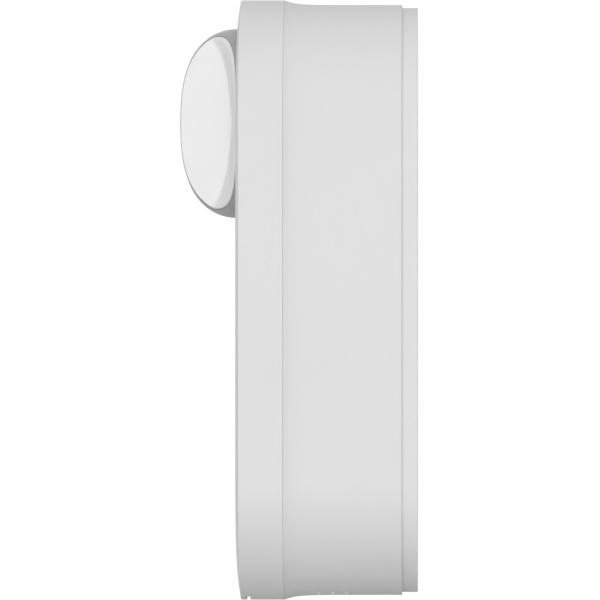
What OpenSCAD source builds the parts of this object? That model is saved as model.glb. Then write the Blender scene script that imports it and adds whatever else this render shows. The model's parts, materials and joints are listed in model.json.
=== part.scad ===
// Battery video doorbell: a capsule-shaped unit with a domed camera pod, hung on a thin wall plate.
// The wall face is the plane Y = 0, the visitor stands on the -Y side and +Z is up.
// "Depth" always means the distance in front of the wall, so a depth d is the plane Y = -d.
// Every layer is a capsule around one common upright spine, so only its radius changes.

/* [Body] */
// Overall height of the front cover
body_height = 130; // [120:1:140]
// Overall width of the front cover
body_width = 52; // [50:0.5:54]
// Depth of the flat middle of the front face
face_depth = 39.1; // [39.1:0.1:40.5]
// How far the soft edge of the face falls back
face_crown = 0.78; // [0.3:0.02:1]
// Width of the band over which the face falls back
crown_width = 8.7; // [6:0.1:10]
// How far the main housing is set in from the front cover
housing_inset = 1; // [0.8:0.05:1.4]
// How far the wall plate is set in from the main housing
plate_inset = 0.65; // [0.4:0.05:1]
// Wall thickness of the main housing
housing_wall = 2; // [1.8:0.1:2.2]
// Wall thickness of the front cover
cover_wall = 1.8; // [1.6:0.1:1.9]

/* [Camera pod] */
// Radius of the pod where it meets the face
pod_radius = 20.5; // [20:0.1:21]
// How far the pod stands out of the face
pod_height = 12.35; // [11.9:0.05:13]
// Roundness of the pod's outline towards its tip: 2 is an ellipse, more is squarer
pod_roundness = 2.1; // [2:0.05:2.4]
// Fullness of the pod's outline towards its rim: 2 is an ellipse, more is squarer
pod_fullness = 2.8; // [2.4:0.1:3]
// How far the pod's middle sits below the middle of the top end
pod_drop = 0.7; // [0:0.1:1]
// Half width of the pod's ridge at its tip
ridge_half = 4.6; // [4.6:0.1:5.6]

/* [Bell button] */
// Radius of the pressed cap
button_radius = 9.6; // [9:0.1:9.6]
// Travel of the button
button_travel = 0.6; // [0.3:0.1:0.6]

/* [Wall mounting] */
// Distance between the two wall screws
screw_spacing = 92; // [86:1:94]
// Diameter that the screw slots take
screw_diameter = 4.4; // [4:0.1:5]
// Length of the screw slots
slot_length = 9; // [7:0.5:10]

/* [Hidden] */
$fn = 72;
spine = (body_height - body_width) / 2;
cover_r = body_width / 2;
housing_r = cover_r - housing_inset;
plate_r = housing_r - plate_inset;
plate_depth = 3.5;
plate_floor = 1.6;
housing_back = 3.7;
housing_front = 28.75;
cover_back = 28.9;
flare_length = 9;
flare_decay = 2.2;
inner_r = housing_r - housing_wall;
back_inner = housing_back + housing_wall;
frame_back = 25.5;
frame_step = 29.7;
frame_front = 36.7;
frame_plate = 1.8;
frame_r = cover_r - cover_wall - 0.3;
skirt_r = inner_r - 0.25;
cavity_r = 21.2;
board_back = 30.2;
board_front = 31.4;
pod_z = spine - pod_drop;
pod_tip = face_depth + pod_height;
pod_wall = 1.6;
cheek_wall = 1.2;
window_half = 3.4;
lens_r = 2.9;
window_reach = 15;
led_board_z = 9;
led_board_depth = 44;
led_z = 8.4;
button_z = -spine;
stem_end = 32.7;
switch_front = 33.3;
button_front = face_depth - 0.15;
ring_r = 12;
pir_z = 6;
pir_r = 5.6;
mic_z = -56;
screw_posts = [[17, 46], [-17, 46], [14.5, -53], [-14.5, -53]];
board_posts = [[18, 18], [-18, 18], [18, -16], [-18, -16]];
recess_x = 12.5;
recess_low = 19.5;
recess_high = 41;
recess_floor = 8.5;
rear_board_back = 12.5;
cell_r = 9.1;
cell_x = 9.5;
cell_depth = 16.2;
cell_low = -49.5;
cell_length = 65;
cell_high = cell_low + cell_length;
cradle_back = back_inner + 0.1;
usb_z = 36.5;
flap_hinge_z = 39.6;
flap_hinge_depth = 7.65;
reset_at = [10.4, 30];
terminal_z = 24.5;
terminal_x = 5.5;
tongue_z = 55;
rib_z = 62.4;
rib_depth = 4;
rib_r = 0.6;
rib_half = 4.5;
tab_z = -59.9;
tab_depth = 10;
notch_half = 7;
notch_back = 36.2;
notch_front = 37.1;
notch_roof = 1.5 - body_height / 2;
security_depth = 7.2;
speaker_low = -58.6;
speaker_depth = 18.5;
flare_rise = 5;
flare_top = face_depth + flare_rise;

// Extrudes a flat shape, drawn in X and Z, from one depth to another.
module prism(from, to) {
    translate([0, -from, 0]) rotate([90, 0, 0]) linear_extrude(to - from) children();
}

// A round bar along the depth axis.
module bar(x, z, r, from, to) {
    prism(from, to) translate([x, z]) circle(r);
}

// A body turned about a depth axis; the outline is a list of [radius, depth].
module turned(x, z, outline) {
    translate([x, 0, z]) rotate([90, 0, 0]) rotate_extrude() polygon(outline);
}

// A capsule built around the spine from an outline of [radius, depth], back to front.
module capsule(outline) {
    last = len(outline) - 1;
    closed = concat([[0, outline[0][1]]], outline, [[0, outline[last][1]]]);
    right = [for (p = outline) [p[0], -p[1]]];
    left = [for (i = [last:-1:0]) [-outline[i][0], -outline[i][1]]];
    for (side = [0, 1]) {
        mirror([0, 0, side])
            translate([0, 0, spine])
            rotate([90, 0, 0])
            rotate_extrude(angle = 180)
            polygon(closed);
    }
    translate([0, 0, -spine]) linear_extrude(2 * spine) polygon(concat(right, left));
}

// The rounded rib on which the unit rocks when it is tilted off the plate.
module rocking_rib(r, half) {
    translate([-half, -rib_depth, rib_z]) rotate([0, 90, 0]) cylinder(r = r, h = 2 * half);
}

// A plain capsule slab of one radius.
module slab(r, from, to) {
    capsule([[r, from], [r, to]]);
}

// A box by its X range, depth range and Z range.
module block(x, depth, z) {
    translate([x[0], -depth[1], z[0]]) cube([x[1] - x[0], depth[1] - depth[0], z[1] - z[0]]);
}

// A flat rectangle with round corners, centred at [x, z].
module rounded(x, z, w, h, r) {
    translate([x, z]) {
        square([w - 2 * r, h], center = true);
        square([w, h - 2 * r], center = true);
        for (sx = [-1, 1], sz = [-1, 1])
            translate([sx * (w / 2 - r), sz * (h / 2 - r)]) circle(r, $fn = 32);
    }
}

// An upright slot of half width r and overall length l, centred at [x, z].
module upright_slot(x, z, r, l) {
    translate([x, z]) {
        square([2 * r, l - 2 * r], center = true);
        for (s = [-1, 1]) translate([0, s * (l / 2 - r)]) circle(r);
    }
}

// Outline of the housing: straight, then flaring out to the cover's size at the front.
function flare(s) = cover_r - housing_inset * (1 - exp(-s / flare_decay));
function flare_outline() = [for (i = [0:9])
    let (s = flare_length * pow(1 - i / 9, 2)) [flare(s), housing_front - s]];

// Outline of the face: flat in the middle, falling back along a parabola near the edge.
function face_outline() = [for (i = [0:6])
    let (t = 1 - i / 6) [cover_r - crown_width + (crown_width - 0.25) * t, face_depth - face_crown * t * t]];

// Radius of the pod at a height above the face, shrunk on all sides by a wall.
function pod_r(h, wall) = (pod_radius - wall)
    * pow(1 - pow(h / (pod_height - wall), pod_roundness), 1 / pod_fullness);
function pod_outline(wall) = [for (i = [0:14])
    let (h = (pod_height - wall) * sin(90 * i / 14)) [pod_r(h, wall), face_depth + h]];

// Half width of the pod between its scooped flanks: steep at the ridge, then flaring like a quarter ellipse.
function flank(depth) = ridge_half + 0.1 * (pod_tip - depth);
function flank_outline() = concat(
    [[flank(pod_tip + 1), pod_tip + 1]],
    [for (i = [0:8]) let (a = 90 * i / 8)
        [pod_radius - 0.7 + (flank(flare_top) - pod_radius + 0.7) * cos(a),
            face_depth + flare_rise * (1 - sin(a))]]);

// The dome of the pod, shrunk by a wall, with a straight foot down to a given depth.
module pod_dome(wall, foot) {
    turned(0, pod_z, concat([[0, foot], [pod_radius - wall, foot]], pod_outline(wall)));
}

// The space between the scooped flanks, narrowed on both sides by a wall.
module between_flanks(wall) {
    outline = flank_outline();
    last = len(outline) - 1;
    right = [for (p = outline) [p[0] - wall, -p[1]]];
    left = [for (i = [last:-1:0]) [wall - outline[i][0], -outline[i][1]]];
    base = [[pod_radius + 1, -face_depth], [pod_radius + 1, -frame_front + 1],
        [-pod_radius - 1, -frame_front + 1], [-pod_radius - 1, -face_depth]];
    translate([0, 0, pod_z - pod_radius - 1])
        linear_extrude(2 * pod_radius + 2)
        polygon(concat(right, base, left));
}

module wall_plate() {
    color("gainsboro") {
        difference() {
            slab(plate_r, 0, plate_depth);
            slab(plate_r - 1.8, plate_floor, plate_depth + 1);
            for (z = [-screw_spacing / 2, screw_spacing / 2])
                prism(-1, plate_depth) upright_slot(0, z, screw_diameter / 2, slot_length);
            prism(-1, plate_depth) rounded(0, (recess_low + recess_high) / 2, 2 * recess_x + 1, 24.5, 3);
            prism(-1, plate_depth) rounded(0, -14, 22, 36, 5);
            rocking_rib(rib_r + 0.1, rib_half + 0.3);
        }
        for (z = [-34.5, 6, 12.5]) block([-20, 20], [plate_floor - 0.1, plate_floor + 1], [z, z + 1.2]);
        block([-6, 6], [plate_floor - 0.1, 8.6], [tongue_z, tongue_z + 1.6]);
        block([-6, 6], [7.6, 8.6], [tongue_z + 1.5, tongue_z + 2.8]);
        difference() {
            block([-3.9, 3.9], [plate_floor - 0.1, tab_depth], [tab_z, tab_z + 2.5]);
            translate([0, -security_depth, tab_z - 1]) cylinder(r = 1.25, h = 5);
        }
    }
}

module main_housing() {
    color("whitesmoke")
    difference() {
        union() {
            difference() {
                capsule(concat([[housing_r, housing_back]], flare_outline()));
                slab(inner_r, back_inner, housing_front + 1);
            }
            for (p = screw_posts) {
                bar(p[0], p[1], 3.3, back_inner - 0.5, 8.4);
                bar(p[0], p[1], 2.5, 8, frame_back - 0.2);
            }
            block([-recess_x - 1.5, recess_x + 1.5], [back_inner - 0.5, recess_floor + 1.5],
                [recess_low - 1.5, recess_high + 1.5]);
            block([-4.2, 4.2], [back_inner - 0.5, tab_depth + 0.6], [-62.6, tab_z - 1]);
            rocking_rib(rib_r, rib_half);
        }
        block([-recess_x, recess_x], [housing_back - 1, recess_floor], [recess_low, recess_high]);
        block([-6.6, 6.6], [housing_back - 1, back_inner + 1], [tongue_z - 1, tongue_z + 1.9]);
        block([-4.4, 4.4], [housing_back - 1, back_inner + 1], [tab_z - 0.4, tab_z + 3.3]);
        for (p = screw_posts) {
            bar(p[0], p[1], 2.4, housing_back - 1, 6.6);
            bar(p[0], p[1], 1.35, 6, frame_back);
        }
        translate([0, -security_depth, -70]) cylinder(r = 2.2, h = 7.6);
        translate([0, -security_depth, -70]) cylinder(r = 1.35, h = 12);
        prism(recess_floor - 1, recess_floor + 2) rounded(0, usb_z, 9.4, 3.6, 1.5);
        bar(reset_at[0], reset_at[1], 1.8, recess_floor - 1, recess_floor + 2);
        for (side = [-1, 1]) bar(side * terminal_x, terminal_z, 1.6, recess_floor - 1, recess_floor + 2);
        for (i = [-2:2], j = [0:2])
            translate([i * 3, 3 * (1 - j) - speaker_depth, -70]) cylinder(r = 0.65, h = 10, $fn = 24);
    }
}

module core_frame() {
    color("dimgray")
    difference() {
        union() {
            difference() {
                capsule([[skirt_r, frame_back], [skirt_r, frame_step], [frame_r, frame_step],
                    [frame_r, frame_front - 1.1], [frame_r - 1.2, frame_front]]);
                slab(cavity_r, frame_back - 1, frame_front - frame_plate);
            }
            for (p = screw_posts) bar(p[0], p[1], 2.5, frame_back, frame_front - 1);
            for (p = board_posts) bar(p[0], p[1], 1.9, board_front + 0.05, frame_front - 1);
        }
        bar(0, pod_z, 9, frame_front - 3, frame_front + 1);
        bar(0, button_z, button_radius + 0.3, frame_front - 3, frame_front + 1);
        bar(0, pir_z, 4.8, frame_front - 3, frame_front + 1);
        bar(0, mic_z, 2.1, frame_front - 3, frame_front + 1);
        for (p = screw_posts) bar(p[0], p[1], 1.25, frame_back - 1, 33.5);
        for (p = board_posts) bar(p[0], p[1], 0.85, board_front - 1, 35);
    }
}

module housing_gasket() {
    color("darkgray")
    difference() {
        slab(frame_r - 0.1, housing_front + 0.03, frame_step - 0.03);
        slab(skirt_r + 0.05, housing_front - 1, frame_step + 1);
    }
}

module front_cover() {
    color("whitesmoke")
    difference() {
        capsule(concat(
            [[cover_r, cover_back], [cover_r, face_depth - face_crown - 0.42],
                [cover_r - 0.07, face_depth - face_crown - 0.17]],
            face_outline()));
        capsule([[cover_r - cover_wall, cover_back - 1], [cover_r - cover_wall, face_depth - 2.8],
            [cover_r - cover_wall - 0.8, face_depth - 2.2], [cover_r - 9, face_depth - cover_wall]]);
        bar(0, pod_z, pod_radius + 0.3, cover_back, face_depth + 1);
        bar(0, button_z, ring_r + 0.25, cover_back, face_depth + 1);
        bar(0, pir_z, pir_r + 0.2, cover_back, face_depth + 1);
        bar(0, mic_z, 0.6, cover_back, face_depth + 1);
        block([-notch_half, notch_half], [notch_back, notch_front], [-body_height / 2 - 1, notch_roof]);
    }
}

module pod_shell() {
    color("silver")
    difference() {
        intersection() {
            difference() {
                pod_dome(0, frame_front + 0.02);
                pod_dome(pod_wall, frame_front - 1);
            }
            between_flanks(cheek_wall + 0.05);
        }
        prism(face_depth + 3, pod_tip + 1) upright_slot(0, pod_z, window_half + 0.1, 2 * window_reach + 0.2);
    }
}

// A scooped flank: the layer of the dome just inside the flank's surface, on one side.
module pod_cheek(side) {
    color("white")
    intersection() {
        pod_dome(0.02, face_depth);
        difference() {
            between_flanks(0);
            between_flanks(cheek_wall);
        }
        block([side > 0 ? 0 : -30, side > 0 ? 30 : 0], [face_depth + 0.02, pod_tip + 1], [0, 70]);
    }
}

module pod_cheek_left() {
    pod_cheek(-1);
}

module pod_cheek_right() {
    pod_cheek(1);
}

module camera_window() {
    color("black")
    intersection() {
        difference() {
            pod_dome(0.02, face_depth);
            pod_dome(1.3, face_depth - 1);
        }
        prism(face_depth + 3, pod_tip + 1) upright_slot(0, pod_z, window_half, 2 * window_reach);
    }
}

module lens_front_element() {
    color("midnightblue")
    turned(0, pod_z, [[0, 46.6], [lens_r, 46.6], [lens_r, 47.9], [2.2, 48.4], [1.2, 48.75], [0, 48.85]]);
}

module lens_barrel() {
    color("black")
    turned(0, pod_z, [[2.1, 38.1], [5.2, 38.1], [5.2, 40.4], [3.6, 41], [3.6, 48.1],
        [lens_r + 0.06, 48.1], [lens_r + 0.06, 46.5], [2.1, 46.5]]);
}

module lens_holder() {
    color("black")
    difference() {
        block([-6, 6], [board_front + 0.02, 38.08], [pod_z - 6, pod_z + 6]);
        bar(0, pod_z, 2.4, board_front + 1.5, 39);
        block([-4, 4], [board_front - 1, board_front + 1.6], [pod_z - 3.6, pod_z + 3.6]);
        block([-7, 7], [34, 35], [pod_z - 2.9, pod_z + 2.9]);
    }
}

module ir_cut_filter() {
    color("lightskyblue") block([-2.7, 5.4], [34.15, 34.85], [pod_z - 2.75, pod_z + 2.75]);
}

module image_sensor() {
    color("darkslategray")
    block([-3.6, 3.6], [board_front + 0.02, board_front + 1.2], [pod_z - 3.2, pod_z + 3.2]);
}

module ir_led_boards() {
    color("darkgreen")
    for (z = [pod_z - led_board_z, pod_z + led_board_z])
        block([-3.3, 3.3], [led_board_depth, led_board_depth + 0.8], [z - 3.6, z + 3.6]);
}

module ir_leds() {
    base = led_board_depth + 0.82;
    color("lavender")
    for (z = [pod_z - led_z, pod_z + led_z])
        turned(0, z, [[0, base], [1.7, base], [1.7, base + 0.5], [1.4, base + 0.6], [1.3, base + 1.2],
            [0.8, base + 1.8], [0, base + 2]]);
}

module pir_lens() {
    color("white")
    turned(0, pir_z, [[0, 38.1], [3, 37.8], [4.6, frame_front + 0.02], [pir_r + 0.6, frame_front + 0.02],
        [pir_r + 0.6, 37.1], [pir_r, 37.1], [pir_r, face_depth - 0.05], [3, face_depth + 0.1],
        [0, face_depth + 0.15]]);
}

module pir_sensor() {
    color("silver") bar(0, pir_z, 4.1, board_front + 0.02, 35.6);
}

module button_cap() {
    color("whitesmoke") {
        turned(0, button_z, [[0, 35], [button_radius, 35], [button_radius, button_front - 0.4],
            [button_radius - 0.4, button_front], [button_radius - 1.2, button_front],
            [button_radius - 3, button_front - 0.35], [0, button_front - 0.7]]);
        for (a = [90, 210, 330]) {
            intersection() {
                bar(0, button_z, 11, 33.8, 34.7);
                bar(11 * cos(a), button_z + 11 * sin(a), 3, 33, 35);
            }
            bar(8 * cos(a), button_z + 8 * sin(a), 1.2, 33.8, 35.1);
        }
    }
}

module button_stem() {
    color("dimgray") bar(0, button_z, 1.6, stem_end, 34.98);
}

module button_switch() {
    color("black")
    difference() {
        block([-3.1, 3.1], [board_front + 0.02, switch_front], [button_z - 3.1, button_z + 3.1]);
        bar(0, button_z, 1.7, stem_end - button_travel - 0.1, switch_front + 1);
    }
}

module light_ring() {
    color("white")
    turned(0, button_z, [[button_radius + 0.3, frame_front + 0.02], [ring_r, frame_front + 0.02],
        [ring_r, face_depth], [button_radius + 0.4, face_depth], [button_radius + 0.3, face_depth - 0.1]]);
}

module ring_leds() {
    color("ivory")
    for (a = [30:60:330])
        bar(10.6 * cos(a), button_z + 10.6 * sin(a), 0.9, board_front + 0.02, board_front + 0.8);
}

module main_board() {
    color("darkgreen")
    difference() {
        slab(20.6, board_back, board_front);
        for (p = screw_posts) bar(p[0], p[1], 2.8, board_back - 1, board_front + 1);
        for (p = board_posts) bar(p[0], p[1], 0.95, board_back - 1, board_front + 1);
    }
}

module shield_can() {
    color("silver") block([-13, 13], [board_front + 0.02, board_front + 2], [-22, -3]);
}

module wifi_antenna() {
    color("goldenrod") block([-15, -9], [board_front + 0.02, board_front + 0.6], [12, 30]);
}

module microphone() {
    color("gold") block([-1.6, 1.6], [board_front + 0.02, board_front + 1], [mic_z - 2.2, mic_z + 2.2]);
}

module microphone_boot() {
    color("black")
    turned(0, mic_z, [[0.6, 32.42], [1.8, 32.42], [1.8, 36.6], [1.5, 36.8], [0.6, 36.8]]);
}

module speaker() {
    color("dimgray") {
        translate([0, 0, speaker_low]) linear_extrude(3.6) rounded(0, -speaker_depth, 20, 13, 5);
        translate([0, 0, speaker_low + 3.5]) linear_extrude(2) rounded(0, -speaker_depth, 14, 8, 3.5);
    }
}

module speaker_gasket() {
    color("black")
    translate([0, 0, speaker_low - 1.6])
        linear_extrude(1.58)
        difference() {
            rounded(0, -speaker_depth, 16, 11, 4);
            rounded(0, -speaker_depth, 13.4, 8.4, 3);
        }
}

// One round battery cell with its positive cap at the top.
module battery_cell(side) {
    color("steelblue")
    translate([side * cell_x, -cell_depth, cell_low]) {
        cylinder(r = cell_r, h = cell_length - 1);
        cylinder(r = 2.8, h = cell_length);
    }
}

module battery_cell_left() {
    battery_cell(-1);
}

module battery_cell_right() {
    battery_cell(1);
}

module battery_cradle() {
    color("dimgray")
    difference() {
        union() {
            block([-19.6, 19.6], [cradle_back, 10.6], [cell_low, cell_high - 2]);
            block([-12, 12], [cradle_back, 20], [cell_high + 0.5, cell_high + 2]);
            block([-10, 10], [cradle_back, 12], [cell_high - 3, cell_high + 1]);
        }
        for (side = [-1, 1]) {
            translate([side * cell_x, -cell_depth, cell_low - 2])
                cylinder(r = cell_r + 0.2, h = cell_length + 2.4);
        }
    }
}

module battery_tabs() {
    color("silver") block([-13, 13], [13, 19], [cell_high + 0.05, cell_high + 0.3]);
}

module rear_board() {
    color("darkgreen")
    difference() {
        block([-13.4, 13.4], [rear_board_back, rear_board_back + 1.2], [recess_low + 0.5, recess_high - 0.5]);
        prism(rear_board_back - 1, rear_board_back + 2) rounded(0, usb_z, 9.4, 3.6, 1.5);
        for (x = [-terminal_x, terminal_x])
            bar(x, terminal_z, 1.5, rear_board_back - 1, rear_board_back + 2);
    }
}

module usb_port() {
    color("silver")
    difference() {
        prism(recess_floor + 0.3, 16.5) rounded(0, usb_z, 9, 3.2, 1.4);
        prism(recess_floor, 15) rounded(0, usb_z, 8.4, 2.6, 1.1);
    }
    color("black") prism(recess_floor + 1.5, 15.2) rounded(0, usb_z, 6.6, 0.8, 0.3);
}

module port_flap() {
    color("gray") {
        block([-6.5, 6.5], [7.05, 8.25], [usb_z - 3.6, flap_hinge_z]);
        translate([-6.5, -flap_hinge_depth, flap_hinge_z]) rotate([0, 90, 0]) cylinder(r = 0.6, h = 13);
    }
}

module terminal_plates() {
    color("goldenrod")
    for (side = [-1, 1]) {
        difference() {
            block([side * terminal_x - 3, side * terminal_x + 3], [7.9, recess_floor - 0.02],
                [terminal_z - 3, terminal_z + 3]);
            bar(side * terminal_x, terminal_z, 1.55, 7, 9);
        }
    }
}

module terminal_screws() {
    color("silver")
    for (side = [-1, 1]) {
        difference() {
            turned(side * terminal_x, terminal_z, [[0, 6.3], [2, 6.3], [2.6, 6.8], [2.6, 7.88],
                [1.4, 7.88], [1.4, 15], [0, 15]]);
            block([side * terminal_x - 2, side * terminal_x + 2], [6, 7],
                [terminal_z - 0.3, terminal_z + 0.3]);
        }
    }
}

module reset_button() {
    color("gray")
    turned(reset_at[0], reset_at[1], [[0, 7.4], [1.5, 7.4], [1.6, 7.5], [1.6, 10.1], [2.3, 10.1],
        [2.3, 10.6], [0.8, 10.6], [0.8, 11], [0, 11]]);
}

module reset_switch() {
    color("black")
    block([reset_at[0] - 1.7, reset_at[0] + 1.7], [11.65, rear_board_back - 0.02],
        [reset_at[1] - 1.7, reset_at[1] + 1.7]);
}

module housing_screws() {
    color("silver")
    for (p = screw_posts) {
        difference() {
            turned(p[0], p[1], [[0, 4.9], [1.6, 4.9], [2.1, 5.4], [2.1, 6.58], [1.2, 6.58],
                [1.2, 33], [0, 33]]);
            bar(p[0], p[1], 0.9, 4, 5.9);
        }
    }
}

module board_screws() {
    color("silver")
    for (p = board_posts)
        turned(p[0], p[1], [[0, 28.9], [1.6, 28.9], [1.6, board_back - 0.02], [0.8, board_back - 0.02],
            [0.8, 34], [0, 34]]);
}

module security_screw() {
    color("silver")
    translate([0, -security_depth, 0])
    difference() {
        rotate_extrude() polygon([[0, -63.6], [1.6, -63.6], [2, -63.3], [2, -62.42], [1.2, -62.42],
            [1.2, tab_z - 0.5], [0, tab_z - 0.5]]);
        translate([0, 0, -64]) cylinder(r = 0.9, h = 1.1);
    }
}

wall_plate();
main_housing();
core_frame();
housing_gasket();
front_cover();
pod_shell();
pod_cheek_left();
pod_cheek_right();
camera_window();
lens_front_element();
lens_barrel();
lens_holder();
ir_cut_filter();
image_sensor();
ir_led_boards();
ir_leds();
pir_lens();
pir_sensor();
button_cap();
button_stem();
button_switch();
light_ring();
ring_leds();
main_board();
shield_can();
wifi_antenna();
microphone();
microphone_boot();
speaker();
speaker_gasket();
battery_cell_left();
battery_cell_right();
battery_cradle();
battery_tabs();
rear_board();
usb_port();
port_flap();
terminal_plates();
terminal_screws();
reset_button();
reset_switch();
housing_screws();
board_screws();
security_screw();
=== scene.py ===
"""A capsule-shaped video doorbell with a domed camera pod, hung on a wall plate, seen from its side.

Every shape is described in millimetres by X, by its depth in front of the wall and by Z, and placed()
turns that into the frame's metres. The places of the pieces come from the boxes of the CAD nodes.
"""

import json
import math

import bmesh
import bpy
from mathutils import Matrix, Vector


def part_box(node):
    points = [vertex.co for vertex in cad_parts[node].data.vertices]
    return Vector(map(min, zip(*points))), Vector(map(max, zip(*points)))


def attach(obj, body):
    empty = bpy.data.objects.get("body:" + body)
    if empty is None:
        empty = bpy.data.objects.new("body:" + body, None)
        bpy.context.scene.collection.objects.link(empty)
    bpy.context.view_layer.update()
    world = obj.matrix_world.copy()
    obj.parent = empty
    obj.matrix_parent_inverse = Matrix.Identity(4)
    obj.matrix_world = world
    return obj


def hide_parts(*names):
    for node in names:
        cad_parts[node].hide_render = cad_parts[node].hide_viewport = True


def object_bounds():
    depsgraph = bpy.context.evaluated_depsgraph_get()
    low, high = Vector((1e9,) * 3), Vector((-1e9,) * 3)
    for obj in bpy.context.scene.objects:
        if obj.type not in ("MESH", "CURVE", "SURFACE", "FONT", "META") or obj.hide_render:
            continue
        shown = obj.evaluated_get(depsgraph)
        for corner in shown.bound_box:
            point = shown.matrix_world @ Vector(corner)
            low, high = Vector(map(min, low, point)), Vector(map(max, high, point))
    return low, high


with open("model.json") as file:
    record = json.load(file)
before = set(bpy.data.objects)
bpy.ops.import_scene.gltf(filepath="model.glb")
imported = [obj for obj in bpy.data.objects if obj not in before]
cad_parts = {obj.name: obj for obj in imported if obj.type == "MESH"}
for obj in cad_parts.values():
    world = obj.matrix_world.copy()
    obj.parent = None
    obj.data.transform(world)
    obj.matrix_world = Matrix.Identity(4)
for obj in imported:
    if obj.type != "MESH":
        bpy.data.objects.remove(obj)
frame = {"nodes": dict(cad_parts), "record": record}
cad_low, cad_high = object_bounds()
scene = bpy.context.scene

MM = 0.001
ARC = 72  # facets of each half-round end of a capsule
SLOT_ARC = 24  # facets of each half-round end of a small slot
SHARP = math.radians(32)  # edges sharper than this stay crisp in the shading
SAME_POINT = 1e-7  # metres within which two points are one


class Span:
    """The box of a CAD node in millimetres: x, z and r at its middle, and its depths."""

    def __init__(self, node):
        low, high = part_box(node)
        self.x = (low.x + high.x) / 2 / MM
        self.z = (low.z + high.z) / 2 / MM
        self.low = low.z / MM
        self.high = high.z / MM
        self.half = (high.x - low.x) / 2 / MM
        self.back = -high.y / MM
        self.front = -low.y / MM


cover = Span("front_cover")
housing = Span("main_housing")
plate = Span("wall_plate")
pod = Span("pod_shell")
cap = Span("button_cap")
ring = Span("light_ring")
motion = Span("pir_lens")
flap = Span("port_flap")
boot = Span("microphone_boot")
screw = Span("security_screw")
window = Span("camera_window")
port = Span("usb_port")
reset = Span("reset_button")
terminals = Span("terminal_screws")
spine = cover.high - cover.half  # height of the middle of the upper half-round end
joints = {joint["name"]: joint for joint in frame["record"]["behaviour"]["joints"]}
tilt_axis = joints["unit_tilt"]["pos_m"]


# ---------------------------------------------------------------- meshes


def placed(x, depth, z):
    """A point in millimetres, as the frame's metres."""
    return Vector((x, -depth, z)) * MM


def finish_mesh(obj):
    """Smooth faces with crisp edges, and normals that point outwards."""
    bm = bmesh.new()
    bm.from_mesh(obj.data)
    bmesh.ops.remove_doubles(bm, verts=bm.verts, dist=SAME_POINT)
    bmesh.ops.dissolve_degenerate(bm, edges=bm.edges, dist=SAME_POINT)
    bmesh.ops.recalc_face_normals(bm, faces=bm.faces)
    for face in bm.faces:
        face.smooth = True
    for edge in bm.edges:
        edge.smooth = len(edge.link_faces) == 2 and edge.calc_face_angle(0) < SHARP
    bm.to_mesh(obj.data)
    bm.free()
    return obj


def solid(name, points, faces):
    """A mesh object from points in metres and faces that close it."""
    mesh = bpy.data.meshes.new(name)
    mesh.from_pydata(points, [], faces)
    obj = bpy.data.objects.new(name, mesh)
    scene.collection.objects.link(obj)
    return finish_mesh(obj)


def loft(name, rings):
    """A closed solid through rings of equal length, with a flat cap on the first and the last."""
    count = len(rings[0])
    faces = [tuple(range(count))]
    for k in range(len(rings) - 1):
        for i in range(count):
            j = (i + 1) % count
            faces.append((k * count + i, k * count + j, (k + 1) * count + j, (k + 1) * count + i))
    faces.append(tuple((len(rings) - 1) * count + i for i in range(count)))
    return solid(name, [p for r in rings for p in r], faces)


def soften(corners, steps=5):
    """An outline from (radius, depth, rounding) corners, each turned into a small curve."""
    outline = []
    for i, (r, depth, rounding) in enumerate(corners):
        here = Vector((r, depth))
        if not rounding or i in (0, len(corners) - 1):
            outline.append((r, depth))
            continue
        to_last = Vector(corners[i - 1][:2]) - here
        to_next = Vector(corners[i + 1][:2]) - here
        reach = min(rounding, 0.48 * to_last.length, 0.48 * to_next.length)
        a = here + to_last.normalized() * reach
        b = here + to_next.normalized() * reach
        for k in range(steps + 1):
            t = k / steps
            p = a * (1 - t) ** 2 + here * (2 * t * (1 - t)) + b * t * t
            outline.append((p.x, p.y))
    return outline


def capsule(name, outline):
    """A capsule about the common spine, from an outline of (radius, depth), back to front."""
    rings = []
    for r, depth in outline:
        points = []
        for middle, start in ((spine, 0), (-spine, math.pi)):
            for i in range(ARC + 1):
                a = start + math.pi * i / ARC
                points.append(placed(r * math.cos(a), depth, middle + r * math.sin(a)))
        rings.append(points)
    return loft(name, rings)


def turned(name, x, z, outline, facets=96):
    """A solid turned about a depth axis, from an outline of (radius, depth)."""
    rings = []
    for r, depth in outline:
        angles = [2 * math.pi * i / facets for i in range(facets)]
        rings.append([placed(x + r * math.cos(a), depth, z + r * math.sin(a)) for a in angles])
    return loft(name, rings)


def upright(name, x, depth, outline, facets=32):
    """A solid turned about an upright axis, from an outline of (radius, height)."""
    rings = []
    for r, z in outline:
        angles = [2 * math.pi * i / facets for i in range(facets)]
        rings.append([placed(x + r * math.cos(a), depth + r * math.sin(a), z) for a in angles])
    return loft(name, rings)


def rounded_ring(x, z, w, h, r, depth, steps=8):
    """A rectangle with round corners, centred at x and z, at one depth."""
    points = []
    for k, (sx, sz) in enumerate(((1, 1), (-1, 1), (-1, -1), (1, -1))):
        for i in range(steps + 1):
            a = math.pi / 2 * (k + i / steps)
            across = x + sx * (w / 2 - r) + r * math.cos(a)
            up = z + sz * (h / 2 - r) + r * math.sin(a)
            points.append(placed(across, depth, up))
    return points


def tablet(name, x, z, w, h, r, outline, steps=8):
    """A block with round corners; the outline is a list of (inset, depth), back to front."""
    rings = [
        rounded_ring(x, z, w - 2 * inset, h - 2 * inset, max(r - inset, 0.05), depth, steps)
        for inset, depth in outline
    ]
    return loft(name, rings)


def block(name, x, depth, z, edge=0.15):
    """A box by its ranges, with small chamfers on its front and back edges."""
    outline = [(edge, depth[0]), (0, depth[0] + edge), (0, depth[1] - edge), (edge, depth[1])]
    w = x[1] - x[0]
    h = z[1] - z[0]
    return tablet(name, (x[0] + x[1]) / 2, (z[0] + z[1]) / 2, w, h, edge, outline, 3)


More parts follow.
